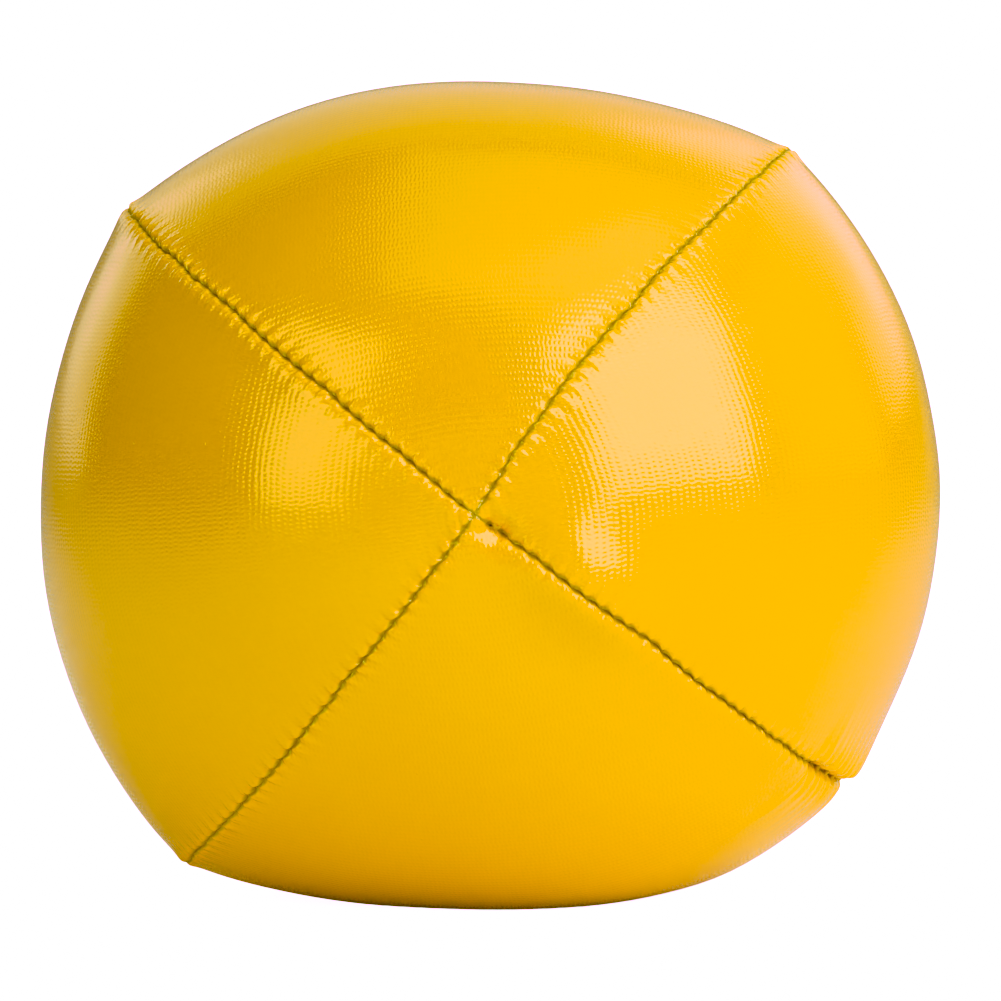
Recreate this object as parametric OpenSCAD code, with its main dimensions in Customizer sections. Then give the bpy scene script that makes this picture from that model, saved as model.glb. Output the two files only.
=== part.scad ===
// Four-panel beanbag juggling ball, at rest on a flat surface.
// Two halves of two panels each are sewn up first, then one long seam round both ends joins the
// halves. The ball is turned right side out through a gap in that seam, filled with grain and
// closed by hand. Millimetres, +Z up. The ends, where the four seams meet, look along -Y and +Y.
// Polar angle runs from 0 at the front end to 180 at the back one. Azimuth is seen from the
// front: 0 points to the right, 90 to the top.

/* [Ball] */
// Half of the width, side to side, between the ridges of the seams
half_width = 34.7; // [32:0.1:38]
// Rise of the top panel's middle above the centre
rise = 31.5; // [30:0.1:34]
// Drop of the bottom below the centre, before the ball's weight flattens it
drop = 33.1; // [32.8:0.1:36]
// Half of the length, from end to end
half_length = 33.4; // [31:0.1:36]
// Height of the centre above the surface that the ball rests on
centre_height = 31.9; // [31:0.1:32.4]
// Level below the centre that the sagging underside tends to
sag_level = 32.6; // [32.2:0.1:33]
// Reach of the curve into that level
sag_blend = 2.8; // [1:0.1:4]
// Reach of the curve into the resting patch
rest_blend = 0.25; // [0.1:0.05:1]

/* [Seams] */
// Azimuth of each seam halfway along: upper right, upper left, lower left, lower right
seam_azimuth = [48.9, 142.2, 230.1, 320.3]; // [0:0.1:360]
// Turn of each seam about the ball from its middle to the front end, in degrees. To the back
// end it turns as far the other way.
seam_twist = [8.8, -1.6, 3.7, 4.8]; // [-9:0.1:9]
// Bow of each seam to one side between its middle and the front end, in degrees. Between its
// middle and the back end it bows to the other side.
seam_bow = [-2.4, 0.3, -1.3, -2.2]; // [-3:0.1:3]
// How far each seam stands out from the oval of the ball
seam_ridge = [2.3, 2.45, 3, 1.05]; // [0.2:0.05:3.5]
// How late a panel rises to its seams: top and bottom panels, side panels
crown_power = [2.4, 2]; // [1.8:0.1:4]
// Where the front end lies from the centre: to the right, up
front_end = [-1.5, 1]; // [-3:0.1:3]
// Where the back end lies from the centre: to the right, up
back_end = [0.6, 0]; // [-3:0.1:3]

/* [Filling bulges] */
// Azimuth of each place where the filling has settled and pushes the skin out
bulge_azimuth = [212, 297, 116]; // [0:1:360]
// Spread of each bulge, in degrees
bulge_spread = [31, 28, 20.5]; // [15:0.5:45]
// Height of each bulge
bulge_height = [1.6, 1.4, 0.9]; // [0:0.1:2.5]

/* [Cloth] */
// Thickness of the coated knit cloth
cloth = 0.9; // [0.6:0.05:1.1]
// Depth of the seam allowance, from the outer surface to its cut edge
allowance = 4.2; // [3:0.1:6]
// Gap between the two plies of a seam, on each side of it
ply_gap = 0.03; // [0.02:0.01:0.05]
// Depth at which the two rounded lips of a seam meet
groove_depth = 0.75; // [0.4:0.05:0.8]
// Space between the cloth and the bulk of the filling
fill_gap = 0.35; // [0.3:0.05:0.6]

/* [Stitching] */
// Length of one machine stitch
stitch = 1.28; // [1.2:0.02:2.5]
// Radius of the machine thread
thread_r = 0.16; // [0.1:0.01:0.2]
// Polar angles between which the filling gap was closed by hand
closed_gap = [66, 114]; // [55:1:125]
// Number of hand stitches across the gap
hand_stitches = 12; // [6:1:16]
// Radius of the hand-sewing thread
hand_thread_r = 0.2; // [0.12:0.01:0.25]
// Radius of the finishing knot
knot_r = 0.95; // [0.9:0.05:1.3]

/* [Hidden] */

// Panels by number: each runs from the seam of its own number to the next one.
TOP = 0;
LEFT = 1;
BOTTOM = 2;
RIGHT = 3;
// Seams by number.
UPPER_RIGHT = 0;
UPPER_LEFT = 1;
LOWER_LEFT = 2;
LOWER_RIGHT = 3;

// Polar angle at which a panel's tip ends, beside the point where all four meet.
tip = 0.6;
rows = 28;
middle_columns = 9;
fill_columns = 9;
// Half width of a panel under which its edge details shrink with it, near its tips.
full_detail = 2.4;
// Rounded lip of a panel: [distance from the seam, depth].
lip = [[ply_gap, groove_depth], [0.16, 0.34], [0.45, 0.08], [1, 0]];
// Shallowest that an allowance gets, at a panel's tips, where it is trimmed away.
trimmed = cloth + 0.15;
// Angle of one machine stitch along a seam.
stitch_angle = stitch / (half_width + rise) * 2 * 180 / PI;

skin_colour = [1.0, 0.74, 0.0];
thread_colour = [0.8, 0.58, 0.0];
grain_colour = [0.87, 0.75, 0.5];

function unit(v) = v / norm(v);

// Azimuth of seam j at polar angle t. Seam 4 is seam 0 again, one turn on.
function azimuth(j, t) =
    seam_azimuth[j % 4] + 360 * floor(j / 4)
    + seam_twist[j % 4] * cos(t) + seam_bow[j % 4] * sin(2 * t);

// Radius of the ball's oval section at azimuth a.
function oval(a) =
    let (h = sin(a) > 0 ? rise : drop)
    half_width * h / norm([h * cos(a), half_width * sin(a)]);

// How far panel k stands out from the oval at u, from -1 at its first seam to 1 at its second.
function ridge(k, u) =
    seam_ridge[u < 0 ? k : (k + 1) % 4] * pow(abs(u), crown_power[k % 2]);

// How far the settled filling pushes the skin out at azimuth a and polar angle t.
function bulge(a, t) =
    let (pushes = [for (i = [0:len(bulge_azimuth) - 1])
        bulge_height[i]
        * exp((sin(t) * cos(a - bulge_azimuth[i]) - 1) * 2 / pow(bulge_spread[i] * PI / 180, 2))])
    pushes * [for (p = pushes) 1];

// A height that comes to rest on a level: it curves into it within blend, and is never lower.
function settled(z, level, blend) =
    let (above = z - level)
    above > blend ? z : above < -blend ? level : level + pow(above + blend, 2) / (4 * blend);

// Point of the ball's outer surface from its centre: panel k, polar angle t, u across the panel.
function outer(k, t, u) =
    let (
        a = (azimuth(k, t) * (1 - u) + azimuth(k + 1, t) * (1 + u)) / 2,
        push = bulge(a, t),
        r = sin(t) * (oval(a) + ridge(k, u) * pow(sin(t), 2) + push),
        front = cos(t) * (1 + cos(t)) / 2,
        back = cos(t) * (cos(t) - 1) / 2,
        shift = front_end * front + back_end * back,
        z = r * sin(a) + shift[1]
    )
    [
        r * cos(a) + shift[0],
        -cos(t) * (half_length + push),
        settled(settled(z, -sag_level, sag_blend), -centre_height, rest_blend)
    ];

// The outer surface's points, to find the middle of the ball's box.
survey = [for (k = [TOP:RIGHT], i = [0:rows], u = [-1:0.125:1])
    outer(k, tip + (180 - 2 * tip) * i / rows, u)];
box_middle = [for (axis = [0, 1])
    (max([for (p = survey) p[axis]]) + min([for (p = survey) p[axis]])) / 2];
centre = [-box_middle[0], -box_middle[1], centre_height];

// Point in the wall of the ball, depth under its outer surface.
function skin(k, t, u, depth) =
    let (p = outer(k, t, u)) centre + p - unit(p) * depth;

// Half of panel k's width at polar angle t, along the surface.
function half_span(k, t) =
    sin(t) * (half_width + rise) / 2 * (azimuth(k + 1, t) - azimuth(k, t)) / 2 * PI / 180;

// Share of the full edge details that panel k has room for at polar angle t.
function detail(k, t) = min(1, half_span(k, t) / full_detail);

// Point beside seam j: distance runs along the surface, and is negative on the panel before it.
function by_seam(j, t, distance, depth) =
    let (k = distance < 0 ? (j + 3) % 4 : j, from_edge = abs(distance) / half_span(k, t))
    skin(k, t, distance < 0 ? 1 - from_edge : from_edge - 1, depth);

// Width and depth that the folded edge of panel k takes up at polar angle t.
function ply_width(k, t) = min(cloth, 0.45 * half_span(k, t));
function ply_depth(k, t) =
    trimmed + (allowance - trimmed) * max(0, min(1, (half_span(k, t) - 1.5) / 3));

// A closed body through rings of points, each ring with the same even number of them. Its ends
// are ladders of faces between the two sides of the first and of the last ring.
module loft(rings) {
    m = len(rings[0]);
    last = (len(rings) - 1) * m;
    sides = [for (i = [0:len(rings) - 2], j = [0:m - 1])
        let (a = i * m + j, b = i * m + (j + 1) % m)
        each [[a, b, b + m], [a, b + m, a + m]]];
    ends = [for (j = [0:m / 2 - 2])
        let (p = j, q = j + 1, r = m - 2 - j, s = m - 1 - j)
        each [
            [r, q, p], [s, r, p],
            [last + p, last + q, last + r], [last + p, last + r, last + s]
        ]];
    polyhedron(points = [for (ring = rings) each ring], faces = concat(sides, ends));
}

// Section of panel k at polar angle t, as [u, depth]: round from its first folded edge over the
// outer surface to its second folded edge, and back along the inside.
function panel_section(k, t) =
    let (
        w = half_span(k, t),
        f = detail(k, t),
        edge = [for (e = lip) [1 - e[0] * f / w, e[1] * f]],
        n = len(lip),
        u_smooth = edge[n - 1][0],
        u_wall = edge[0][0],
        u_inside = 1 - (ply_gap * f + ply_width(k, t)) / w,
        deep = ply_depth(k, t),
        columns = 2 * n + middle_columns
    )
    concat(
        [[-u_wall, deep]],
        [for (e = edge) [-e[0], e[1]]],
        [for (i = [1:middle_columns]) [u_smooth * (2 * i / (middle_columns + 1) - 1), 0]],
        [for (i = [n - 1:-1:0]) edge[i]],
        [[u_wall, deep], [u_inside, deep]],
        [for (i = [columns - 1:-1:0]) [u_inside * (2 * i / (columns - 1) - 1), cloth]],
        [[-u_inside, deep]]
    );

// Panel k: one gore of cloth, with its two long edges folded in along the seams.
module panel(k) {
    color(skin_colour)
        loft([for (i = [0:rows])
            let (t = tip + (180 - 2 * tip) * i / rows)
            [for (s = panel_section(k, t)) skin(k, t, s[0], s[1])]]);
}

// Section of the filling under panel k at polar angle t, as [u, depth], with half of the channel
// that each seam's allowances press into it.
function fill_section(k, t) =
    let (
        w = half_span(k, t),
        channel = min(ply_gap + ply_width(k, t) + fill_gap, 0.6 * w),
        u_channel = 1 - channel / w,
        shallow = cloth + fill_gap,
        deep = ply_depth(k, t) + fill_gap
    )
    concat(
        [[-1, deep], [-u_channel, deep]],
        [for (i = [0:fill_columns]) [u_channel * 0.98 * (2 * i / fill_columns - 1), shallow]],
        [[u_channel, deep]]
    );

// The bulk of loose grain that fills the closed skin.
module filling() {
    color(grain_colour)
        loft([for (i = [0:rows])
            let (t = tip + (180 - 2 * tip) * i / rows)
            [for (k = [TOP:RIGHT], s = fill_section(k, t)) skin(k, t, s[0], s[1])]]);
}

// Rings of a thread of radius r with this many sides along a path of points.
function thread_rings(path, r, sides) =
    [for (i = [0:len(path) - 1])
        let (
            along = unit(path[min(i + 1, len(path) - 1)] - path[max(i - 1, 0)]),
            across = unit(cross(along, path[i] - centre)),
            up = cross(across, along)
        )
        [for (j = [0:sides - 1])
            path[i] + r * (across * cos(360 * j / sides) + up * sin(360 * j / sides))]];

// Path of one thread of a machine seam along seam j between two polar angles. side is 1 or -1,
// for the panel that it lies on. At each hole it meets the other thread between the plies, at
// hole_depth, and between the holes it lies against the back of its own ply.
function stitch_path(j, from, to, side, hole_depth) =
    let (n = round(abs(to - from) / stitch_angle))
    [for (i = [0:2 * n])
        let (
            t = from + (to - from) * i / (2 * n),
            k = side > 0 ? j : (j + 3) % 4,
            f = detail(k, t),
            back = ply_gap + ply_width(k, t) + thread_r
        )
        i % 2 == 0
            ? by_seam(j, t, side * thread_r * 0.4 * f, hole_depth)
            : by_seam(j, t, side * min(back, 0.7 * half_span(k, t)), cloth + thread_r)];

needle_depth = 0.55;
bobbin_depth = 0.8;
// Polar angle at which the two short seams stop, just short of the long one.
short_of_end = 2.6;

// Thread of the short seam j inside one half of the ball.
module half_thread(j, side, hole_depth) {
    color(thread_colour)
        loft(thread_rings(
            stitch_path(j, short_of_end, 180 - short_of_end, side, hole_depth), thread_r, 4));
}

// Thread of the long seam that joins the halves: from the filling gap over the front end, along
// the upper left, over the back end and up to the gap again. side is 1 for the upper half.
module joining_thread(side, hole_depth) {
    color(thread_colour)
        loft(thread_rings(
            concat(
                stitch_path(LOWER_RIGHT, closed_gap[0], 1, side, hole_depth),
                stitch_path(UPPER_LEFT, 1, 179, -side, hole_depth),
                stitch_path(LOWER_RIGHT, 179, closed_gap[1], side, hole_depth)
            ),
            thread_r, 4));
}

// Hand stitches that close the filling gap: each runs inside the fold of one panel, then crosses
// square to the other one. They end in an overhand knot.
module closing_thread() {
    in_fold = 0.55;
    fold_depth = 0.6;
    step = (closed_gap[1] - closed_gap[0]) / hand_stitches;
    ladder = [for (i = [0:2 * hand_stitches + 1])
        let (side = floor((i + 1) / 2) % 2 == 0 ? 1 : -1)
        by_seam(LOWER_RIGHT, closed_gap[0] + step * floor(i / 2), side * in_fold, fold_depth)];
    knot_centre = by_seam(LOWER_RIGHT, closed_gap[1] + 1.2, 0, 0.1);
    turn = 12;
    knot = [for (i = [0:350 / turn])
        let (a = i * turn)
        knot_centre + knot_r / 3 * [
            -sin(3 * a), sin(a) + 2 * sin(2 * a), cos(a) - 2 * cos(2 * a)
        ]];
    color(thread_colour) {
        loft(thread_rings(ladder, hand_thread_r, 6));
        loft(thread_rings(knot, hand_thread_r, 6));
    }
}

module panel_top() { panel(TOP); }
module panel_left() { panel(LEFT); }
module panel_bottom() { panel(BOTTOM); }
module panel_right() { panel(RIGHT); }
module needle_thread_upper_half() { half_thread(UPPER_RIGHT, 1, needle_depth); }
module bobbin_thread_upper_half() { half_thread(UPPER_RIGHT, -1, bobbin_depth); }
module needle_thread_lower_half() { half_thread(LOWER_LEFT, 1, needle_depth); }
module bobbin_thread_lower_half() { half_thread(LOWER_LEFT, -1, bobbin_depth); }
module needle_thread_joining() { joining_thread(1, needle_depth); }
module bobbin_thread_joining() { joining_thread(-1, bobbin_depth); }

panel_top();
panel_left();
panel_bottom();
panel_right();
needle_thread_upper_half();
bobbin_thread_upper_half();
needle_thread_lower_half();
bobbin_thread_lower_half();
needle_thread_joining();
bobbin_thread_joining();
closing_thread();
filling();
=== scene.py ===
"""Beanbag juggling ball: four glossy cloth panels, their lockstitched seams, a gap closed by hand
and the grain inside. The ball's form is the CAD part's, in millimetres. Polar angle t runs from 0
at the front end to 180 at the back one, and azimuth is seen from the front: 0 is right, 90 up.
"""

import bpy
import numpy as np
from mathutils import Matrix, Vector, kdtree


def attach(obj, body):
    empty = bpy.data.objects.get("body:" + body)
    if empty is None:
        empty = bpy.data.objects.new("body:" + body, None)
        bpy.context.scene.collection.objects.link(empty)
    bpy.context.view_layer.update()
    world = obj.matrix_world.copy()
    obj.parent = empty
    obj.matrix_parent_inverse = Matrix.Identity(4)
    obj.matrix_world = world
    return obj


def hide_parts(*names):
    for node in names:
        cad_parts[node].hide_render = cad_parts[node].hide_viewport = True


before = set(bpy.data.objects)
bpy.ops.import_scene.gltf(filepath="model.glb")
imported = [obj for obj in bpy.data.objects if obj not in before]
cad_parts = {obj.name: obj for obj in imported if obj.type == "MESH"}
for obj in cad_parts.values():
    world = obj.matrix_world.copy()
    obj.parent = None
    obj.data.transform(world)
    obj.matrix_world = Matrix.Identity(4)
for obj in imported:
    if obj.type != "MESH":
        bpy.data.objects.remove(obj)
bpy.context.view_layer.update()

MM = 0.001

# Ball, as in the CAD part.
HALF_WIDTH, RISE, DROP, HALF_LENGTH = 34.7, 31.5, 33.1, 33.4
CENTRE_HEIGHT, SAG_LEVEL, SAG_BLEND, REST_BLEND = 31.9, 32.6, 2.8, 0.25
SEAM_AZIMUTH = np.array([48.9, 142.2, 230.1, 320.3])
SEAM_TWIST = np.array([8.8, -1.6, 3.7, 4.8])
SEAM_BOW = np.array([-2.4, 0.3, -1.3, -2.2])
SEAM_RIDGE = np.array([2.3, 2.45, 3, 1.05])
CROWN_POWER = (2.4, 2)
FRONT_END, BACK_END = (-1.5, 1), (0.6, 0)
BULGES = ((212, 31, 1.6), (297, 28, 1.4), (116, 20.5, 0.9))
CLOTH, ALLOWANCE, PLY_GAP, FILL_GAP = 0.9, 4.2, 0.03, 0.35
STITCH, THREAD_R, HAND_THREAD_R, KNOT_R = 1.28, 0.16, 0.2, 0.95
CLOSED_GAP, HAND_STITCHES = (66, 114), 12

# Towards a panel's ends, where half its span is under FULL_SPAN, its plies draw together. The
# cloth then takes up to FOLD_SHARE of the half span.
FULL_SPAN, FOLD_SHARE, FOLD_RADIUS = 2.4, 0.45, 0.15
UPPER_RIGHT, UPPER_LEFT, LOWER_LEFT, LOWER_RIGHT = range(4)
STITCH_ANGLE = np.degrees(STITCH / (HALF_WIDTH + RISE) * 2)
HAND_ANGLE = (CLOSED_GAP[1] - CLOSED_GAP[0]) / HAND_STITCHES

# Knit under the coating: pitch and height of its ribs, across a panel, and its wales, along it.
RIB_PITCH, WALE_PITCH = 0.5, 0.34
RIB_HEIGHT, WALE_HEIGHT = 0.0036, 0.0032
RIB_ANGLE = np.degrees(RIB_PITCH / (HALF_WIDTH + RISE) * 2)

# Cloth beside the machine seams: depth of the groove at a needle hole, how much of it closes
# between two holes, the height of a stitch lump, and how far the two sides are out of step.
GROOVE_DEPTH, GROOVE_CLOSES, LUMP_HEIGHT, STITCH_SLANT = 0.29, 0.9, 0.13, 0.1
TIP_DIMPLE = 0.85

# Mesh detail. TIP is the polar angle of a panel's last row.
ROWS, HALF_COLUMNS, TIP, LIP_GAP = 1080, 32, 0.12, 0.012

# Cloth simulation: a coarse skin, made larger than life, with the grain's pressure in it.
SIM_ANGLES = np.linspace(3, 177, 72)
SIM_COLUMNS, SIM_SCALE, SIM_PRESSURE, SIM_FRAMES = 16, 10, 12, 20

# Low swells that the grain pushes up: polar angle, azimuth, width in degrees and height.
SWELLS = ((13.5, 325, 5.2, 0.75), (20.5, 324, 6, 1.0), (34, 150, 8, -0.12))

# Looks. The table is greyer at a distance, a painted pool of light round the ball, and the glow is only
# what the camera sees.
# PAINTED_GROOVE_SHADE is an olive painted into the cloth as the shade in the seams' grooves.
YELLOW, YELLOW_DEEP, PAINTED_GROOVE_SHADE = (1.0, 0.5, 0.0), (0.98, 0.475, 0.0), (0.52, 0.32, 0.0)
TABLE_LIGHT_POOL_GREY, BACKGROUND_GLOW, AIR_LIGHT = (0.92, 0.4), 1.5, 0.02
GREEN_SHOULDER = ((0.25, 0.5), (0.5, 0.66), (0.8, 1))


def azimuth(j, t):
    r = np.radians(t)
    turn = SEAM_TWIST[j % 4] * np.cos(r) + SEAM_BOW[j % 4] * np.sin(2 * r)
    return SEAM_AZIMUTH[j % 4] + 360 * (j // 4) + turn


def oval(a):
    a = np.radians(a)
    h = np.where(np.sin(a) > 0, RISE, DROP)
    return HALF_WIDTH * h / np.hypot(h * np.cos(a), HALF_WIDTH * np.sin(a))


def settled(z, level, blend):
    above = z - level
    curve = level + (above + blend) ** 2 / (4 * blend)
    return np.where(above > blend, z, np.where(above < -blend, level, curve))


def outer(k, t, u):
    """Points of the ball's plain outer surface from its centre: panel k, polar angle t, u across."""
    a = (azimuth(k, t) * (1 - u) + azimuth(k + 1, t) * (1 + u)) / 2
    c, s = np.cos(np.radians(t)), np.sin(np.radians(t))
    push = sum(
        h * np.exp((s * np.cos(np.radians(a - az)) - 1) * 2 / np.radians(w) ** 2)
        for az, w, h in BULGES
    )
    seam = np.where(u < 0, SEAM_RIDGE[k], SEAM_RIDGE[(k + 1) % 4])
    r = s * (oval(a) + seam * np.abs(u) ** CROWN_POWER[k % 2] * s**2 + push)
    front, back = c * (1 + c) / 2, c * (c - 1) / 2
    x = r * np.cos(np.radians(a)) + FRONT_END[0] * front + BACK_END[0] * back
    z = r * np.sin(np.radians(a)) + FRONT_END[1] * front + BACK_END[1] * back
    y = -c * (HALF_LENGTH + push)
    z = settled(settled(z, -SAG_LEVEL, SAG_BLEND), -CENTRE_HEIGHT, REST_BLEND)
    return np.stack([x, y, z], -1)


def find_centre():
    t, u = np.meshgrid(np.linspace(0.6, 179.4, 29), np.linspace(-1, 1, 17))
    points = np.concatenate([outer(k, t, u).reshape(-1, 3) for k in range(4)])
    middle = (points.max(0) + points.min(0)) / 2
    return np.array([-middle[0], -middle[1], CENTRE_HEIGHT])


CENTRE = find_centre()


def skin(k, t, u, depth):
    """Points in the wall of the ball, depth under its plain outer surface."""
    p = outer(k, t, u)
    return CENTRE + p - p / np.linalg.norm(p, axis=-1, keepdims=True) * np.asarray(depth)[..., None]


def half_span(k, t):
    span = azimuth(k + 1, t) - azimuth(k, t)
    return np.sin(np.radians(t)) * (HALF_WIDTH + RISE) / 2 * np.radians(span) / 2


def by_seam(j, t, distance, depth):
    """Points beside seam j. A negative distance is on the panel before the seam."""
    t, distance, depth = np.broadcast_arrays(*map(np.asarray, (t, distance, depth)))
    before, after = (j + 3) % 4, j
    left = skin(before, t, 1 - np.abs(distance) / half_span(before, t), depth)
    right = skin(after, t, np.abs(distance) / half_span(after, t) - 1, depth)
    return np.where((distance < 0)[..., None], left, right)


def step(a, b, x):
    """0 at a and before it, 1 at b and beyond it, and a smooth change between them."""
    x = np.clip((x - a) / (b - a), 0, 1)
    return x * x * (3 - 2 * x)


def wobble(x, seed):
    """Smooth random values from -1 to 1 along x, with a new one at each whole number."""
    values = np.random.default_rng(seed).uniform(-1, 1, 512)
    i = np.floor(x).astype(int)
    f = step(0, 1, x - i)
    return values[i % 512] * (1 - f) + values[(i + 1) % 512] * f


def per_stitch(x, seed):
    """One random value from -1 to 1 for each stitch."""
    return np.random.default_rng(seed).uniform(-1, 1, 512)[np.floor(x).astype(int) % 512]


def waves(points, seed, count, shortest, longest):
    """A smooth random field in space, about -1 to 1, made of plane waves."""
    rng = np.random.default_rng(seed)
    field = np.zeros(points.shape[:-1])
    for _ in range(count):
        direction = rng.normal(size=3)
        direction /= np.linalg.norm(direction)
        length = rng.uniform(shortest, longest)
        field += np.cos(2 * np.pi * (points @ direction) / length + rng.uniform(0, 6.28))
    return field / np.sqrt(count)


def hump(d, peak):
    """A rounded rise that is 0 at 0, 1 at the peak and fades beyond it."""
    return d / peak * np.exp(1 - d / peak)


def seam_relief(j, side, t, d):
    """Height of the cloth over the plain ball beside seam j: groove, stitch lumps and gathers.
    side is 1 on the panel after the seam and -1 on the panel before it."""
    seed = 20 * j + (3 if side > 0 else 7)
    stitch = t / STITCH_ANGLE + STITCH_SLANT * side
    between = np.sin(np.pi * stitch) ** 2
    size = 1 + 0.45 * per_stitch(stitch, seed)
    near_tip = np.minimum(1, half_span(j if side > 0 else (j + 3) % 4, t) / 1.2)
    joining = j in (UPPER_LEFT, LOWER_RIGHT)
    proud = joining and (j == UPPER_LEFT) == (side > 0)
    reach = (0.31 - 0.19 * between * size) * (0.8 if proud else 1.0) * (0.5 + 0.5 * near_tip)
    relief = -GROOVE_DEPTH * (1 - GROOVE_CLOSES * between) * np.exp(-((d / reach) ** 1.8))
    relief += LUMP_HEIGHT * size * between * hump(d, 0.3)
    relief -= (0.06 if proud else 0.02) * np.exp(-d / 0.9)
    if proud:
        relief += 0.2 * hump(d, 0.8) - 0.16 * np.exp(-((d / 0.55) ** 2))
    rib = t / RIB_ANGLE + 0.45 * wobble(t / RIB_ANGLE / 3, seed + 1)
    gather = 0.5 + 0.5 * wobble(stitch / 2, seed + 2)
    relief += (0.03 + 0.045 * gather) * np.cos(2 * np.pi * rib) * np.exp(-d / 0.5) * step(0.08, 0.3, d)
    relief += 0.035 * wobble(stitch * 0.9, seed + 5) * np.exp(-d / 1.6) * step(0, 0.5, d)
    if j == LOWER_RIGHT:
        # The dimple where the seams meet, rounder on the bottom panel, and the hand-sewn gap.
        width = 1.4 if side < 0 else 0.9
        relief -= TIP_DIMPLE * np.exp(-((d / width) ** 2)) * np.exp(-(((t - 3.6) / 3) ** 2))
        start, end = CLOSED_GAP
        closed = step(start - 2, start + 1, t) * (1 - step(end - 1, end + 2, t))
        relief = relief * (1 - closed) + hand_sewn(side, t, d, seed) * closed
    return relief * near_tip


def painted_seam_shade(side, t, d):
    """The painted shade of the groove: how far it reaches over the cloth, wide at each needle hole,
    and narrow where the lips meet between two holes."""
    between = np.sin(np.pi * (t / STITCH_ANGLE + STITCH_SLANT * side)) ** 2
    width = 0.38 - 0.24 * between
    return step(width, 0.35 * width, d)


def hand_sewn(side, t, d, seed):
    """The gap closed by hand: pulled in at each stitch, with wrinkles that fan out from it."""
    hand = (t - CLOSED_GAP[0]) / HAND_ANGLE + 0.2 * side
    pulled = np.cos(np.pi * hand) ** 2
    lump = 1 + 0.4 * per_stitch(hand + 0.5, seed + 2)
    right = side > 0
    relief = -0.5 * np.exp(-((d / (0.24 + 0.1 * pulled)) ** 1.4))
    relief -= (0.2 if right else 0.5) * np.exp(-d / (0.7 if right else 1.1))
    relief += (0.35 if right else 0.25) * hump(d, 1.2 if right else 2.2)
    relief -= 0.24 * lump * pulled * np.exp(-d / 0.8)
    fan = hand * 2 + 0.6 * wobble(hand, seed + 6)
    relief += 0.2 * np.cos(2 * np.pi * fan) * np.exp(-d / 1.5) * step(0.1, 0.7, d)
    return relief + 0.09 * wobble(t / 0.9, seed + 4) * np.exp(-d / 1.2) * step(0.05, 0.3, d)


def seam_shift(j, t):
    """How far the line of seam j strays towards the panel after it."""
    s = t / STITCH_ANGLE
    return 0.08 * np.sin(2 * np.pi * s) + 0.1 * wobble(s * 0.7, 60 + j) + 0.11 * wobble(s / 4, 50 + j)


def distances(w):
    """Distances of a panel's columns from its seam, out to its middle: close together at the seam.
    w is the panel's half span, one value a row."""
    d = np.linspace(0, 32, 2000)
    spacing = np.minimum(0.045 + 0.17 * d, 1.1)
    count = np.concatenate([[0], np.cumsum((d[1] - d[0]) / spacing)])[:-1]
    share = np.linspace(0, 1, HALF_COLUMNS + 1)
    return np.interp(share[None, :] * np.interp(w, d, count)[:, None], count, d)


def add_mesh(name, verts, quads):
    """A mesh object from vertices in millimetres and faces of four corners, normals outward."""
    a, b, c = (verts[quads[:, i]] for i in (0, 1, 2))
    e = verts[quads[:, 3]]
    volume = np.einsum("ij,ij->", a, np.cross(b, c)) + np.einsum("ij,ij->", a, np.cross(c, e))
    if volume < 0:
        quads = quads[:, ::-1]
    mesh = bpy.data.meshes.new(name)
    mesh.vertices.add(len(verts))
    mesh.vertices.foreach_set("co", (verts * MM).astype(np.float32).ravel())
    mesh.loops.add(quads.size)
    mesh.loops.foreach_set("vertex_index", np.ascontiguousarray(quads, dtype=np.int32).ravel())
    mesh.polygons.add(len(quads))
    mesh.polygons.foreach_set("loop_start", np.arange(0, quads.size, 4, dtype=np.int32))
    mesh.update(calc_edges=True)
    mesh.polygons.foreach_set("use_smooth", np.ones(len(quads), dtype=bool))
    obj = bpy.data.objects.new(name, mesh)
    bpy.context.scene.collection.objects.link(obj)
    return obj


def loft(name, rings):
    """A closed body through rings of points, with ladders of faces across its two ends."""
    n, m = rings.shape[:2]
    i, j = np.meshgrid(np.arange(n - 1), np.arange(m), indexing="ij")
    a, b = i * m + j, i * m + (j + 1) % m
    sides = np.stack([a, b, b + m, a + m], -1).reshape(-1, 4)
    p = np.arange(m // 2 - 1)
    ladder = np.stack([m - 1 - p, m - 2 - p, p + 1, p], -1)
    quads = np.concatenate([sides, ladder, ladder[:, ::-1] + (n - 1) * m])
    return add_mesh(name, rings.reshape(-1, 3), quads)


def point_values(obj, name, values):
    layer = obj.data.attributes.new(name, "FLOAT", "POINT")
    layer.data.foreach_set("value", np.asarray(values, np.float32).ravel())


def map_uv(obj, x, y):
    """A UV map in millimetres of cloth, from one pair of values a vertex."""
    uv = np.stack([x, y], -1).reshape(-1, 2)
    corner = np.zeros(len(obj.data.loops), np.int32)
    obj.data.loops.foreach_get("vertex_index", corner)
    layer = obj.data.uv_layers.new(name="cloth")
    layer.data.foreach_set("uv", uv[corner].astype(np.float32).ravel())


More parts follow.
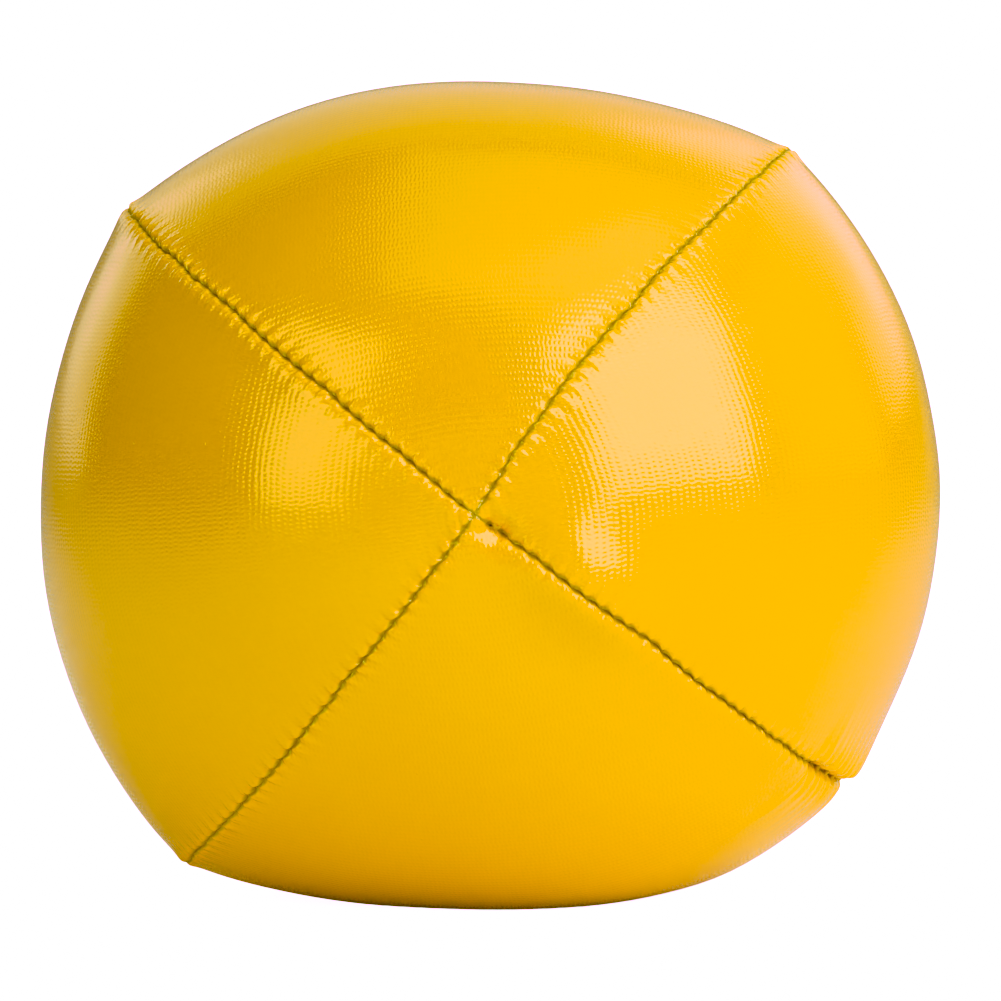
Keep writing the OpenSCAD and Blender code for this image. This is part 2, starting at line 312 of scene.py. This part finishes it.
def swell_cloth():
    """Cloth simulation of the whole skin at ten times life size, held at its seams and pressed out
    by the grain. Returns how far the cloth moves out, over a coarse grid."""
    rows, columns = len(SIM_ANGLES), SIM_COLUMNS
    around = 4 * columns
    u = np.tile(np.linspace(-1, 1, columns, endpoint=False), 4)
    rings = np.concatenate([
        outer(k, SIM_ANGLES[:, None], u[None, k * columns : (k + 1) * columns]) for k in range(4)
    ], 1)
    verts = np.concatenate([rings.reshape(-1, 3), [rings[0].mean(0), rings[-1].mean(0)]])
    i, j = np.meshgrid(np.arange(rows - 1), np.arange(around), indexing="ij")
    a, b = i * around + j, i * around + (j + 1) % around
    quads = np.stack([a + around, b + around, b, a], -1).reshape(-1, 4).tolist()
    front, back = rows * around, rows * around + 1
    j, last = np.arange(around), (rows - 1) * around
    quads += np.stack([j, (j + 1) % around, j * 0 + front], -1).tolist()
    quads += np.stack([last + (j + 1) % around, last + j, j * 0 + back], -1).tolist()
    mesh = bpy.data.meshes.new("simulated_skin")
    mesh.from_pydata(verts * MM * SIM_SCALE, [], quads)
    obj = bpy.data.objects.new("simulated_skin", mesh)
    bpy.context.scene.collection.objects.link(obj)
    seams = np.arange(rows)[:, None] * around + np.arange(0, around, columns)
    ends = np.concatenate([j, last + j, [front, back]])
    obj.vertex_groups.new(name="sewn").add(np.concatenate([seams.ravel(), ends]).tolist(), 1, "REPLACE")
    cloth = obj.modifiers.new("cloth", "CLOTH")
    settings = cloth.settings
    settings.quality, settings.mass, settings.vertex_group_mass = 8, 0.3, "sewn"
    settings.tension_stiffness = settings.compression_stiffness = 15
    settings.shear_stiffness, settings.bending_stiffness = 5, 0.1
    settings.use_pressure, settings.uniform_pressure_force = True, SIM_PRESSURE
    settings.effector_weights.gravity = 0
    cloth.collision_settings.use_collision = False
    for number in range(1, SIM_FRAMES + 1):
        bpy.context.scene.frame_set(number)
    moved = obj.evaluated_get(bpy.context.evaluated_depsgraph_get()).data
    points = np.zeros(verts.size)
    moved.vertices.foreach_get("co", points)
    bpy.context.scene.frame_set(1)
    bpy.data.objects.remove(obj)
    bpy.data.meshes.remove(mesh)
    step_out = (points.reshape(-1, 3) / MM / SIM_SCALE - verts)[:front].reshape(rings.shape)
    return (step_out * rings / np.linalg.norm(rings, axis=-1, keepdims=True)).sum(-1)


def cubic(position, count):
    """Four neighbours and their Catmull-Rom weights, for places from 0 to count - 1."""
    i = np.clip(np.floor(position).astype(int), 0, count - 2)
    f = position - i
    weights = (-f + 2 * f**2 - f**3, 2 - 5 * f**2 + 3 * f**3, f + 4 * f**2 - 3 * f**3, -(f**2) + f**3)
    return [(np.clip(i + n - 1, 0, count - 1), w / 2) for n, w in enumerate(weights)]


def simulated(k, t, u):
    """The simulated height of panel k, smoothed onto its fine grid. t has one value a row."""
    grid = SWELL[:, np.arange(k * SIM_COLUMNS, (k + 1) * SIM_COLUMNS + 1) % (4 * SIM_COLUMNS)]
    position = np.interp(t, SIM_ANGLES, np.arange(len(SIM_ANGLES)))
    rows = sum(grid[i] * w[:, None] for i, w in cubic(position, len(SIM_ANGLES)))
    row = np.arange(len(t))[:, None]
    return sum(rows[row, i] * w for i, w in cubic((u + 1) / 2 * SIM_COLUMNS, SIM_COLUMNS + 1))


def allowance_depth(w):
    """How deep the turned-in edge reaches. It shortens where the half span w is small."""
    return CLOTH + FOLD_RADIUS + (ALLOWANCE - CLOTH - FOLD_RADIUS) * np.clip((w - 1.5) / 3, 0, 1)


def make_panel(k, name):
    """One gore of cloth: outer face with its seam details, folded edges and inner face."""
    t = np.linspace(TIP, 180 - TIP, ROWS + 1)
    w = half_span(k, t)[:, None]
    f = np.minimum(1, w / FULL_SPAN)
    d = np.maximum(distances(w[:, 0]), LIP_GAP * f)
    u = np.concatenate([d / w - 1, (1 - d / w)[:, -2::-1]], 1)
    t2 = np.broadcast_to(t[:, None], u.shape)
    from_first, from_second = (1 + u) * w, (1 - u) * w
    relief = seam_relief(k, 1, t2, from_first) + seam_relief((k + 1) % 4, -1, t2, from_second)
    shift = seam_shift(k, t2) * np.exp(-from_first / 0.6)
    shift += seam_shift((k + 1) % 4, t2) * np.exp(-from_second / 0.6)
    shift *= f
    plain = outer(k, t2, u)
    calm = step(0, 3, np.minimum(from_first, from_second))
    relief = relief + 0.045 * waves(plain, 100 + k, 26, 9, 20) * calm
    relief = relief + simulated(k, t, u) * np.minimum(1, w / 4)
    turn = (azimuth(k, t2) * (1 - u) + azimuth(k + 1, t2) * (1 + u)) / 2
    for polar, facing, width, height in SWELLS:
        away = np.hypot(t2 - polar, np.sin(np.radians(t2)) * ((turn - facing + 180) % 360 - 180))
        relief = relief + height * np.exp(-((away / width) ** 2))
    face = skin(k, t2, u + shift / w, -relief)

    edge = np.abs(u[:, :1])
    inside = 1 - (PLY_GAP * f + np.minimum(CLOTH, FOLD_SHARE * w)) / w
    deep = allowance_depth(w)
    inner_columns = HALF_COLUMNS // 2 + 1
    across = inside * np.linspace(1, -1, inner_columns)[None, :]
    down = np.linspace(0, 1, 4)[1:]
    top_depth = CLOTH * np.ones_like(across)
    first_top = -relief[:, :1]
    second_top = -relief[:, -1:]

    def wall(sign, start, depths):
        down_wall = np.broadcast_to(t[:, None], depths.shape)
        return skin(k, down_wall, sign * start * np.ones_like(depths), depths)

    walls = [
        wall(1, edge, second_top + (deep - second_top) * down),
        wall(1, inside, deep + (CLOTH - deep) * np.array([[0, 0.5]])),
        skin(k, np.broadcast_to(t[:, None], across.shape), across, top_depth),
        wall(-1, inside, deep + (CLOTH - deep) * np.array([[0.5, 0]])),
        wall(-1, edge, deep + (first_top - deep) * np.array([[0, 1 / 3, 2 / 3]])),
    ]
    ring = np.concatenate([face, *walls], 1)
    outer_columns = face.shape[1]
    if ring.shape[1] % 2:
        ring = np.concatenate([ring, (ring[:, -1:] + ring[:, :1]) / 2], 1)
    ring[..., 2] = np.maximum(ring[..., 2], 0)
    obj = loft(name, ring)

    back = np.linspace(1, -1, ring.shape[1] - outer_columns + 2)[None, 1:-1] * np.ones_like(w)
    map_uv(obj, *cloth_place(k, t[:, None], np.concatenate([u, back], 1)))
    near = np.zeros(ring.shape[:2])
    near[:, :outer_columns] = np.exp(-np.minimum(from_first, from_second) / 1.1)
    point_values(obj, "near_seam", near)
    # Painted shade: how far the cloth is coloured olive as the shade in the groove.
    groove = np.zeros(ring.shape[:2])
    groove[:, :outer_columns] = np.maximum(painted_seam_shade(1, t2, from_first), painted_seam_shade(-1, t2, from_second))
    point_values(obj, "groove", groove)
    inner = np.zeros(ring.shape[:2], bool)
    inner[:, outer_columns:] = True
    mark_backing(obj, inner.ravel())
    return obj


def cloth_place(k, t, u):
    """Millimetres across and along the cut cloth of panel k. Its ribs run across the gore, and on
    the ball they bend towards the seams about half as much as circles round its axis do."""
    a = np.radians((azimuth(k + 1, t) - azimuth(k, t)) / 2 * u)
    s, c = np.sin(np.radians(t)), np.cos(np.radians(t))
    radius = (HALF_WIDTH + RISE) / 2
    across = radius * np.arcsin(s * np.sin(a))
    along = radius * (np.arctan2(s * np.cos(a) ** 0.6, c) - np.pi / 2)
    return across, along


def mark_backing(obj, inner):
    """Gives the faces with an inner vertex the second material."""
    corners = np.zeros(len(obj.data.loops), np.int32)
    obj.data.loops.foreach_get("vertex_index", corners)
    faces = inner[corners].reshape(-1, 4).any(1)
    obj.data.polygons.foreach_set("material_index", faces.astype(np.int32))


def smooth_path(points, per_span):
    """A curve through the points, by Catmull-Rom splines."""
    p = np.concatenate([2 * points[:1] - points[1:2], points, 2 * points[-1:] - points[-2:-1]])
    s = np.linspace(0, 1, per_span, endpoint=False)[None, :, None]
    a, b, c, d = (p[i : len(p) - 3 + i, None] for i in range(4))
    square, cube = 2 * a - 5 * b + 4 * c - d, 3 * b - a - 3 * c + d
    curve = 0.5 * (2 * b + (c - a) * s + square * s**2 + cube * s**3)
    return np.concatenate([curve.reshape(-1, 3), points[-1:]])


def thread_rings(path, r, sides, lay, plies=3):
    """Rings of a twisted thread along a path. lay is the length of one turn of its plies."""
    along = np.gradient(path, axis=0)
    length = np.linalg.norm(along, axis=1, keepdims=True)
    along /= length
    across = np.cross(along, path - CENTRE)
    across /= np.linalg.norm(across, axis=1, keepdims=True)
    up = np.cross(across, along)
    run = np.concatenate([[0], np.cumsum(np.linalg.norm(np.diff(path, axis=0), axis=1))])
    a = np.linspace(0, 2 * np.pi, sides, endpoint=False)[None, :]
    ply = np.abs(np.cos(plies / 2 * (a - 2 * np.pi * run[:, None] / lay)))
    radius = (r * (0.78 + 0.22 * ply))[..., None]
    round_ring = across[:, None] * np.cos(a)[..., None] + up[:, None] * np.sin(a)[..., None]
    return path[:, None] + radius * round_ring


def stitch_path(j, start, end, side, hole_depth):
    """Path of one machine thread along seam j, in the CAD part's zigzag."""
    n = int(round(abs(end - start) / STITCH_ANGLE))
    t = np.linspace(start, end, 2 * n + 1)
    k = j if side > 0 else (j + 3) % 4
    w = half_span(k, t)
    f = np.minimum(1, w / FULL_SPAN)
    back = PLY_GAP * f + np.minimum(CLOTH, FOLD_SHARE * w) + THREAD_R
    hole = np.arange(2 * n + 1) % 2 == 0
    away = np.where(hole, THREAD_R * 0.4 * f, np.minimum(back, 0.7 * w))
    return by_seam(j, t, side * away, np.where(hole, hole_depth, CLOTH + THREAD_R))


def make_thread(name, path, r, per_span=6, sides=10):
    return loft(name, thread_rings(smooth_path(path, per_span), r, sides, 5.5 * r))


# Materials.

def shader(name):
    material = bpy.data.materials.new(name)
    material.use_nodes = True
    tree = material.node_tree
    return material, tree, tree.nodes["Principled BSDF"]


def add(tree, kind, inputs=None, **settings):
    """A node with its settings, and with its inputs linked or set."""
    node = tree.nodes.new(kind)
    for key, value in settings.items():
        setattr(node, key, value)
    for key, value in (inputs or {}).items():
        if isinstance(value, bpy.types.NodeSocket):
            tree.links.new(value, node.inputs[key])
        else:
            node.inputs[key].default_value = value
    return node


def maths(tree, operation, *values):
    return add(tree, "ShaderNodeMath", dict(enumerate(values)), operation=operation).outputs[0]


def cloth_coordinates(tree, stray):
    """Cloth coordinates in millimetres, straying a little as the knit does."""
    uv = add(tree, "ShaderNodeUVMap", uv_map="cloth").outputs[0]
    drift = {"Vector": uv, "Scale": 0.35, "Detail": 4.0, "Roughness": 0.65}
    drift = add(tree, "ShaderNodeTexNoise", drift).outputs["Color"]
    drift = add(tree, "ShaderNodeVectorMath", {0: drift, 1: (0.5, 0.5, 0.5)}, operation="SUBTRACT")
    drift = {0: drift.outputs[0], "Scale": stray}
    drift = add(tree, "ShaderNodeVectorMath", drift, operation="SCALE")
    total = add(tree, "ShaderNodeVectorMath", {0: drift.outputs[0], 1: uv}, operation="ADD")
    split = add(tree, "ShaderNodeSeparateXYZ", {0: total.outputs[0]})
    return uv, split.outputs["X"], split.outputs["Y"]


def cosine(tree, value, pitch):
    return maths(tree, "COSINE", maths(tree, "MULTIPLY", value, 2 * np.pi / pitch))


def noise(tree, vector, scale, detail, roughness=0.5):
    settings = {"Vector": vector, "Scale": scale, "Detail": detail, "Roughness": roughness}
    return add(tree, "ShaderNodeTexNoise", settings).outputs["Fac"]


def mix(tree, factor, a, b):
    """The colour between a and b."""
    colours = {"Factor": factor, "A": a, "B": b}
    return add(tree, "ShaderNodeMix", colours, data_type="RGBA").outputs["Result"]


def coated_cloth():
    """Glossy coating over fine knit. The knit shows through it as rows of small dots, ribs across
    the panel crossed by finer wales along it, and it stands out more where the seams gather it."""
    material, tree, bsdf = shader("glossy_coated_knit")
    uv, x, y = cloth_coordinates(tree, 0.5)
    rib = cosine(tree, y, RIB_PITCH)
    brick = maths(tree, "MULTIPLY", cosine(tree, y, 2 * RIB_PITCH), 0.12 * WALE_PITCH)
    wale = cosine(tree, maths(tree, "ADD", x, brick), WALE_PITCH)
    dots = maths(tree, "MULTIPLY", maths(tree, "ADD", rib, 1.0), wale)
    near = add(tree, "ShaderNodeAttribute", attribute_name="near_seam").outputs["Fac"]
    gathered = maths(tree, "MULTIPLY", near, near)
    lift = maths(tree, "MULTIPLY_ADD", gathered, 2.4, 0.2)
    strength = maths(tree, "MULTIPLY_ADD", noise(tree, uv, 0.5, 5.0, 0.7), 1.5, lift)
    knit = maths(tree, "MULTIPLY_ADD", rib, RIB_HEIGHT, maths(tree, "MULTIPLY", dots, WALE_HEIGHT))
    grain_height = maths(tree, "MULTIPLY_ADD", gathered, 0.045, 0.006)
    rough = maths(tree, "MULTIPLY", noise(tree, uv, 3.8, 2.0), grain_height)
    speck = add(tree, "ShaderNodeTexVoronoi", {"Vector": uv, "Scale": 0.28}).outputs["Distance"]
    speck = {"Value": speck, "From Min": 0.035, "From Max": 0.0}
    speck = add(tree, "ShaderNodeMapRange", speck).outputs[0]
    height = maths(tree, "MULTIPLY_ADD", knit, strength, maths(tree, "MULTIPLY_ADD", speck, 0.03, rough))
    bump = add(tree, "ShaderNodeBump", {"Height": height, "Distance": MM, "Strength": 1.0})
    cloth = mix(tree, noise(tree, uv, 0.09, 4.0), (*YELLOW_DEEP, 1), (*YELLOW, 1))
    # Painted shade: the cloth turns olive in the seams' grooves, as far as the groove mask reaches.
    groove = add(tree, "ShaderNodeAttribute", attribute_name="groove").outputs["Fac"]
    tree.links.new(mix(tree, groove, cloth, (*PAINTED_GROOVE_SHADE, 1)), bsdf.inputs["Base Color"])
    tree.links.new(bump.outputs[0], bsdf.inputs["Normal"])
    bsdf.inputs["Roughness"].default_value = 0.055
    bsdf.inputs["IOR"].default_value = 1.9
    bsdf.inputs["Specular IOR Level"].default_value = 0.62
    bsdf.inputs["Specular Tint"].default_value = (1, 1, 0.6, 1)
    return material


def knit_backing():
    material, tree, bsdf = shader("knit_backing")
    uv, x, y = cloth_coordinates(tree, 0.4)
    rib = cosine(tree, y, RIB_PITCH)
    wale = cosine(tree, maths(tree, "ADD", x, maths(tree, "MULTIPLY", rib, 0.06)), WALE_PITCH)
    height = maths(tree, "ADD", maths(tree, "MULTIPLY", rib, wale), noise(tree, uv, 6.0, 4.0))
    bump = add(tree, "ShaderNodeBump", {"Height": height, "Distance": 0.06 * MM})
    # Partly painted shade: the colour follows the knit's height, darker where the knit lies lower, which
    # is painted shade in its hollows, and patchy with the noise in it.
    tone = add(tree, "ShaderNodeMapRange", {"Value": height, "From Min": -1.0, "From Max": 2.0})
    colour = mix(tree, tone.outputs[0], (0.55, 0.3, 0.02, 1), (0.86, 0.55, 0.1, 1))
    tree.links.new(colour, bsdf.inputs["Base Color"])
    tree.links.new(bump.outputs[0], bsdf.inputs["Normal"])
    bsdf.inputs["Roughness"].default_value = 0.9
    bsdf.inputs["Specular IOR Level"].default_value = 0.2
    return material


def spun_thread():
    material, tree, bsdf = shader("spun_polyester")
    position = add(tree, "ShaderNodeTexCoord").outputs["Object"]
    fibre = noise(tree, position, 9000.0, 3.0)
    bump = add(tree, "ShaderNodeBump", {"Height": fibre, "Distance": 0.03 * MM})
    colour = mix(tree, fibre, (0.5, 0.26, 0.0, 1), (0.8, 0.46, 0.01, 1))
    tree.links.new(colour, bsdf.inputs["Base Color"])
    tree.links.new(bump.outputs[0], bsdf.inputs["Normal"])
    bsdf.inputs["Roughness"].default_value = 0.7
    bsdf.inputs["Sheen Weight"].default_value = 0.3
    return material


def millet():
    material, tree, bsdf = shader("millet_grain")
    position = add(tree, "ShaderNodeTexCoord").outputs["Object"]
    tone = add(tree, "ShaderNodeAttribute", attribute_name="grain_tone").outputs["Fac"]
    husk = noise(tree, position, 3000.0, 3.0)
    mixed = maths(tree, "ADD", maths(tree, "MULTIPLY", tone, 0.75), maths(tree, "MULTIPLY", husk, 0.25))
    colour = mix(tree, mixed, (0.55, 0.33, 0.1, 1), (0.86, 0.7, 0.36, 1))
    bump = add(tree, "ShaderNodeBump", {"Height": husk, "Distance": 0.04 * MM})
    tree.links.new(colour, bsdf.inputs["Base Color"])
    tree.links.new(bump.outputs[0], bsdf.inputs["Normal"])
    bsdf.inputs["Roughness"].default_value = 0.45
    return material


# Pieces.

def place(obj, node, slot, *materials):
    for material in materials:
        obj.data.materials.append(material)
    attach(obj, "root")
    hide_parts(node)
    return obj


SWELL = swell_cloth()
skin_cloth, backing, polyester, grain = coated_cloth(), knit_backing(), spun_thread(), millet()
for k, name in enumerate(("top", "left", "bottom", "right")):
    panel = place(make_panel(k, f"cloth_panel_{name}"), f"panel_{name}", "skin", skin_cloth, backing)

NEEDLE_DEPTH, BOBBIN_DEPTH, SHORT_OF_END = 0.55, 0.8, 2.6
for half, j in (("upper", UPPER_RIGHT), ("lower", LOWER_LEFT)):
    for kind, side, depth in (("needle", 1, NEEDLE_DEPTH), ("bobbin", -1, BOBBIN_DEPTH)):
        path = stitch_path(j, SHORT_OF_END, 180 - SHORT_OF_END, side, depth)
        thread = make_thread(f"{kind}_stitches_{half}", path, THREAD_R)
        place(thread, f"{kind}_thread_{half}_half", "thread", polyester)
for kind, side, depth in (("needle", 1, NEEDLE_DEPTH), ("bobbin", -1, BOBBIN_DEPTH)):
    path = np.concatenate([
        stitch_path(LOWER_RIGHT, CLOSED_GAP[0], 1, side, depth),
        stitch_path(UPPER_LEFT, 1, 179, -side, depth),
        stitch_path(LOWER_RIGHT, 179, CLOSED_GAP[1], side, depth),
    ])
    thread = make_thread(f"{kind}_stitches_joining", path, THREAD_R)
    place(thread, f"{kind}_thread_joining", "thread", polyester)


def closing_path():
    i = np.arange(2 * HAND_STITCHES + 2)
    side = np.where((i + 1) // 2 % 2 == 0, 1, -1)
    t = CLOSED_GAP[0] + HAND_ANGLE * (i // 2)
    return by_seam(LOWER_RIGHT, t, side * 0.55, 0.6)


def knot_path():
    a = np.radians(np.arange(0, 360, 4))
    middle = by_seam(LOWER_RIGHT, CLOSED_GAP[1] + 1.2, 0.0, 0.1)
    loops = np.stack([-np.sin(3 * a), np.sin(a) + 2 * np.sin(2 * a), np.cos(a) - 2 * np.cos(2 * a)], -1)
    return middle + KNOT_R / 3 * loops


closing = make_thread("closing_stitches", closing_path(), HAND_THREAD_R, 14, 12)
knot = make_thread("closing_knot", knot_path(), HAND_THREAD_R, 3, 12)
place(closing, "closing_thread", "hand_thread", polyester)
knot.data.materials.append(polyester)
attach(knot, "root")


GRAINS, GRAIN_REACH, GRAIN_RISE, SEED_RADIUS = 3400, 1.15, 0.85, 31


def make_filling():
    """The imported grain: a closed surface of rounded grains, inside the cloth. The grains are the
    cells round seeds on a sphere, spread in a sunflower spiral and then jostled."""
    rows, columns = 240, 320
    t = np.linspace(0.6, 179.4, rows)
    q = (np.arange(columns) + 0.5) / columns * 4
    rng = np.random.default_rng(5)
    rings = np.zeros((rows, columns, 3))
    for k in range(4):
        mine = (q >= k) & (q < k + 1)
        u = np.broadcast_to((q[mine] - k) * 2 - 1, (rows, mine.sum()))
        w = half_span(k, t)[:, None]
        deep = allowance_depth(w)
        channel = np.minimum(PLY_GAP + CLOTH + FILL_GAP, 0.6 * w) + 0.5
        edge = (1 - np.abs(u)) * w
        depth = CLOTH + FILL_GAP + (deep - CLOTH) * (1 - step(0.6 * channel, 1.6 * channel, edge))
        rings[:, mine] = skin(k, np.broadcast_to(t[:, None], u.shape), u, depth + 0.25)
    flat = rings.reshape(-1, 3)
    i = np.arange(GRAINS) + 0.5
    polar, turn = np.arccos(1 - 2 * i / GRAINS), np.pi * (1 + 5**0.5) * i
    seeds = np.stack([np.cos(turn) * np.sin(polar), np.sin(turn) * np.sin(polar), np.cos(polar)], -1)
    seeds = seeds * SEED_RADIUS + rng.normal(scale=0.28, size=seeds.shape)
    seeds *= SEED_RADIUS / np.linalg.norm(seeds, axis=1, keepdims=True)
    tree = kdtree.KDTree(GRAINS)
    for n, p in enumerate(seeds):
        tree.insert(p, n)
    tree.balance()
    out = flat - CENTRE
    unit = out / np.linalg.norm(out, axis=1, keepdims=True)
    found = [tree.find(p * SEED_RADIUS) for p in unit]
    away = np.array([f[2] for f in found])
    tone = rng.uniform(0, 1, GRAINS)[[f[1] for f in found]]
    bump = np.sqrt(np.maximum(0, 1 - (away / GRAIN_REACH) ** 2)) * GRAIN_RISE - GRAIN_RISE
    obj = loft("packed_millet", (flat + unit * bump[:, None]).reshape(rings.shape))
    point_values(obj, "grain_tone", tone)
    return obj


filling = place(make_filling(), "filling", "grain", grain)


# Studio.

def white_sweep():
    """Matt white table. The camera sees it evenly lit, as on a lit background, and the ball sees
    the darker table of a small studio."""
    material, tree, bsdf = shader("white_sweep")
    seen = add(tree, "ShaderNodeLightPath").outputs["Is Camera Ray"]
    position = add(tree, "ShaderNodeTexCoord").outputs["Object"]
    away = add(tree, "ShaderNodeVectorMath", {0: position}, operation="LENGTH").outputs["Value"]
    near_grey, far_grey = TABLE_LIGHT_POOL_GREY
    # Painted pool of light: the table that the ball sees is pale round the ball and greyer farther off.
    fade = {"From Min": 0.08, "From Max": 0.4, "To Min": near_grey, "To Max": far_grey}
    table = add(tree, "ShaderNodeMapRange", {"Value": away, **fade}).outputs[0]
    grey = add(tree, "ShaderNodeMapRange", {"Value": seen, "To Min": table, "To Max": 0.9}).outputs[0]
    glow = maths(tree, "MULTIPLY", seen, BACKGROUND_GLOW)
    tree.links.new(grey, bsdf.inputs["Base Color"])
    tree.links.new(glow, bsdf.inputs["Emission Strength"])
    bsdf.inputs["Emission Color"].default_value = (1, 1, 1, 1)
    bsdf.inputs["Roughness"].default_value = 0.9
    bsdf.inputs["Specular IOR Level"].default_value = 0.1
    return material


def make_studio():
    """A white table that sweeps up into a wall behind the ball."""
    turn = np.radians(np.arange(10, 91, 10))
    y = np.concatenate([[-4.0, -1.5, -0.5, 0, 0.4, 0.9], 0.9 + 0.5 * np.sin(turn), [1.4]])
    z = np.concatenate([np.zeros(6), 0.5 - 0.5 * np.cos(turn), [2.3]]) - 0.00002
    x = np.array([-4, -1.5, 1.5, 4])
    grid = [np.broadcast_to(v, (len(y), 4)) for v in (x[None, :], y[:, None], z[:, None])]
    i, j = np.meshgrid(np.arange(len(y) - 1), np.arange(3), indexing="ij")
    a = (i * 4 + j).ravel()
    quads = np.stack([a, a + 1, a + 5, a + 4], -1)
    sweep = add_mesh("studio_sweep", np.stack(grid, -1).reshape(-1, 3) / MM, quads)
    sweep.data.materials.append(white_sweep())


def make_surroundings():
    """White past the table's edge where the camera looks, and nearly dark to the ball."""
    world = bpy.data.worlds.new("studio_air")
    world.use_nodes = True
    tree = world.node_tree
    seen = add(tree, "ShaderNodeLightPath").outputs["Is Camera Ray"]
    strength = maths(tree, "MULTIPLY_ADD", seen, BACKGROUND_GLOW, AIR_LIGHT)
    tree.links.new(strength, tree.nodes["Background"].inputs["Strength"])
    tree.nodes["Background"].inputs["Color"].default_value = (1, 1, 1, 1)
    bpy.context.scene.world = world


def softbox(name, turn, elevation, distance, width, height, radiance, colour=(1, 1, 1)):
    """A soft light that faces the ball. Its turn is from the camera's side, positive to the right."""
    light = bpy.data.lights.new(name, "AREA")
    light.shape = "RECTANGLE"
    light.size, light.size_y = width, height
    light.energy = radiance * np.pi * width * height
    light.color = colour
    a, e = np.radians(turn), np.radians(elevation)
    away = Vector((np.sin(a) * np.cos(e), -np.cos(a) * np.cos(e), np.sin(e)))
    obj = bpy.data.objects.new(name, light)
    obj.location = Vector(CENTRE * MM) + away * distance
    obj.rotation_euler = away.to_track_quat("Z", "Y").to_euler()
    bpy.context.scene.collection.objects.link(obj)


def make_camera():
    """Level with the ball and a little above it, on its own axis."""
    elevation = np.radians(5)
    distance, view_width = 0.7, 0.0781
    data = bpy.data.cameras.new("camera")
    data.sensor_width = 36
    data.lens = 36 * distance / view_width
    data.clip_start, data.clip_end = 0.01, 20
    camera = bpy.data.objects.new("camera", data)
    away = Vector((0, -np.cos(elevation), np.sin(elevation)))
    up = Vector((0, np.sin(elevation), np.cos(elevation)))
    aim = Vector(CENTRE * MM) + Vector((0.43 * MM, 0, 0)) - up * 0.88 * MM
    camera.location = aim + away * distance
    camera.rotation_euler = away.to_track_quat("Z", "Y").to_euler()
    bpy.context.scene.collection.objects.link(camera)
    bpy.context.scene.camera = camera


def set_camera_response():
    """Colours like a camera's: very bright yellow turns to peach as its red clips, and blue falls
    to nothing in the deep yellow."""
    view = bpy.context.scene.view_settings
    view.view_transform = "Standard"
    view.use_curve_mapping = True
    mapping = view.curve_mapping
    mapping.white_level, mapping.black_level = (2, 2, 2), (0, 0, 0.08)
    for curve, middle in zip(mapping.curves, (((0.5, 1),), GREEN_SHOULDER, ((0.5, 1),))):
        for x, y in middle:
            curve.points.new(x, y)
        for point in curve.points:
            point.handle_type = "VECTOR"
    mapping.update()


make_camera()
make_studio()
softbox("key_softbox", 49, 26, 0.9, 0.74, 0.76, 3.4)
softbox("key_top", 50, 62, 1.1, 0.9, 0.6, 0.5)
softbox("left_softbox", -45, 22, 1.2, 0.56, 1.1, 2.3, (1, 1, 0.62))
softbox("left_back_card", -140, 16, 1.3, 0.7, 0.9, 0.9, (1, 0.95, 0.9))
softbox("front_card", -6, 2, 1.3, 1.3, 0.9, 0.29)
softbox("right_card", 100, 20, 1.3, 0.9, 0.9, 0.8, (1, 0.95, 0.85))
softbox("right_back_card", 144, 25, 1.3, 0.9, 0.9, 0.85)
softbox("top_card", 75, 76, 1.3, 1.5, 1.5, 0.8, (1, 0.98, 0.85))
softbox("back_card", 180, 38, 1.35, 2.0, 0.9, 0.5)
softbox("low_back_card", 180, 12, 1.35, 2.2, 0.4, 0.5)
make_surroundings()
set_camera_response()
